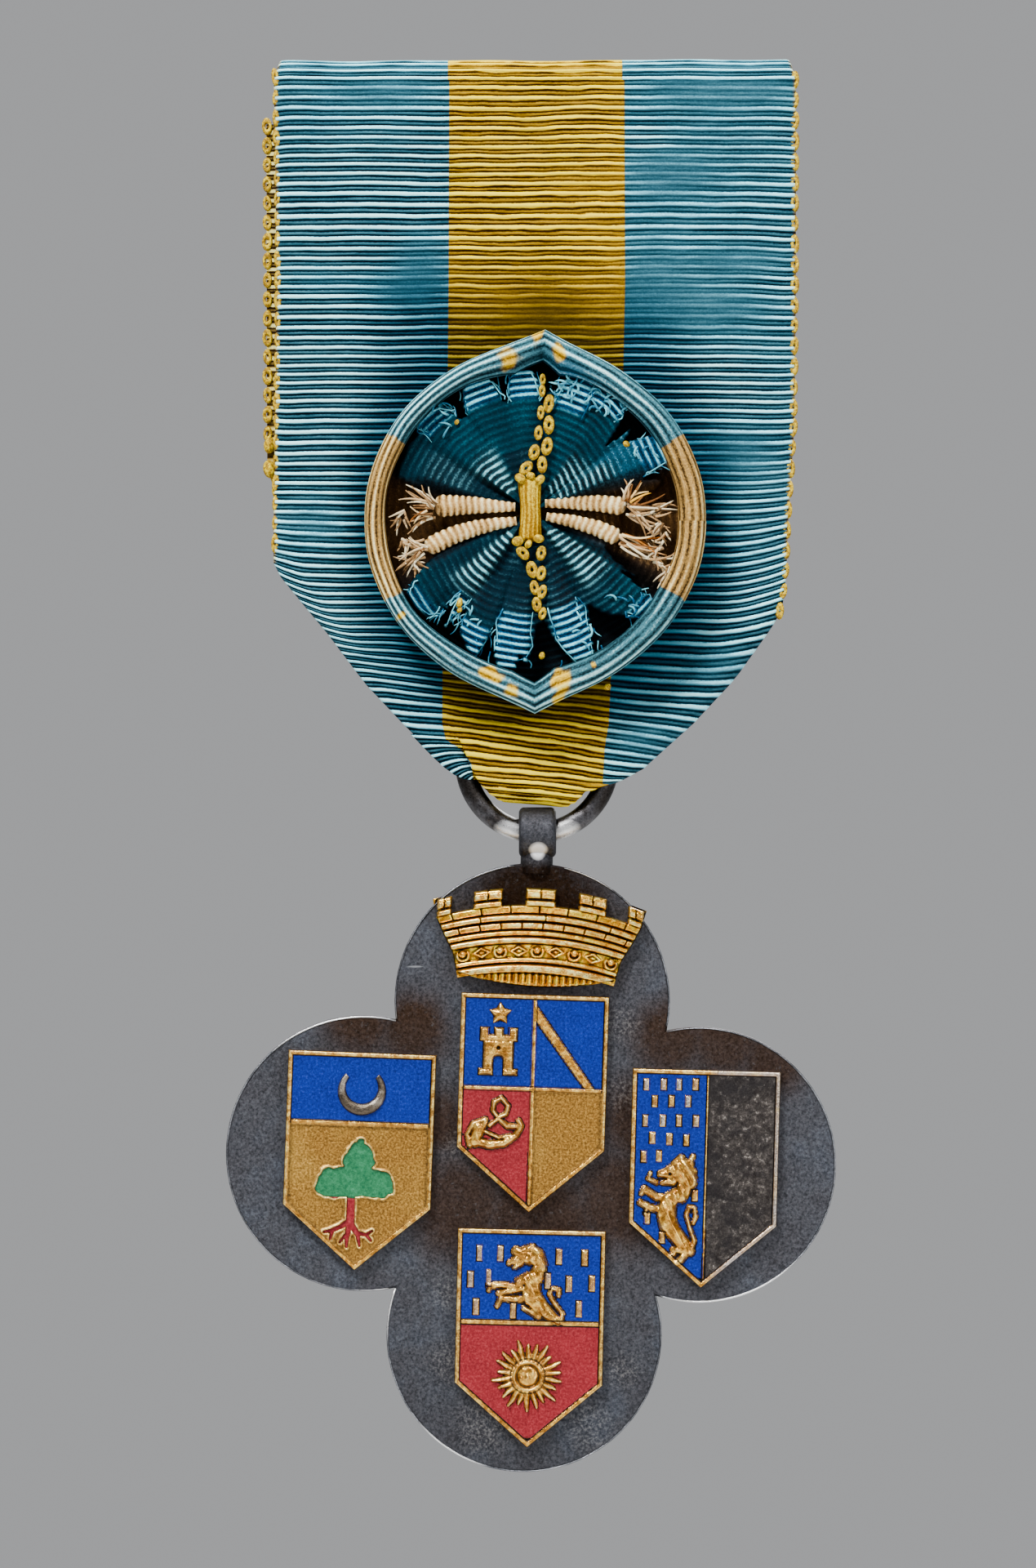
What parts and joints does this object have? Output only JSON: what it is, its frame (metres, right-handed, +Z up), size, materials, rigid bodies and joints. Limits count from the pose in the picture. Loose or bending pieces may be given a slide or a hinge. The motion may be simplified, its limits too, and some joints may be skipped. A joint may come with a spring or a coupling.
{
  "type": "shooting medal",
  "caption": "Shooting medal: a dark silver four-lobed plate with a gilt mural crown and enamelled shields, swinging on a ring from a folded ribbed ribbon with a rosette.",
  "frame": {"origin": "middle of the stem of the pin behind the ribbon, where the medal is pinned on", "axes": "+Z up, -Y towards the viewer and +Y towards the wearer, +X to the viewer's right"},
  "size_m": [0.0433, 0.0112, 0.1003],
  "materials": {
    "ribbon_cloth": "ribbed silk, pale blue with a yellow middle stripe",
    "rosette_rim_cloth": "ribbed silk, pale blue with tan parts at the sides",
    "rosette_fan_cloth": "ribbed silk, deep blue with tan pleats at the sides",
    "binding_cloth": "yellow silk band",
    "dark_silver": "oxidised silver, dark and scratched, satin",
    "pin_steel": "plain wire, satin",
    "gilt": "gilt, bright on edges and relief and matte in the fields",
    "dull_silver": "tarnished silver, dull",
    "blue_enamel": "opaque enamel, glossy",
    "red_enamel": "opaque enamel, glossy",
    "green_enamel": "opaque enamel, glossy"
  },
  "bodies": {
    "ribbon_body": {"ribbon": "ribbon_cloth", "rosette_rim": "rosette_rim_cloth", "rosette_fan": "rosette_fan_cloth", "rosette_binding": "binding_cloth", "suspension_ring": "dark_silver", "brooch_pin": "pin_steel"},
    "badge_body": {"badge_plate": "dark_silver", "crown": "gilt", "shield_centre": "gilt", "centre_blue": "blue_enamel", "centre_red": "red_enamel", "shield_left": "gilt", "left_blue": "blue_enamel", "left_crescent": "dull_silver", "left_green": "green_enamel", "left_red": "red_enamel", "shield_right": "gilt", "right_blue": "blue_enamel", "right_silver": "dull_silver", "shield_bottom": "gilt", "bottom_blue": "blue_enamel", "bottom_red": "red_enamel"}
  },
  "joints": [
    {"name": "badge_swing", "type": "hinge", "parent": "ribbon_body", "child": "badge_body", "pos_m": [0.0002, -0.0038, -0.04889], "axis": [1, 0, 0], "range_deg": [-120, 120]}
  ]
}
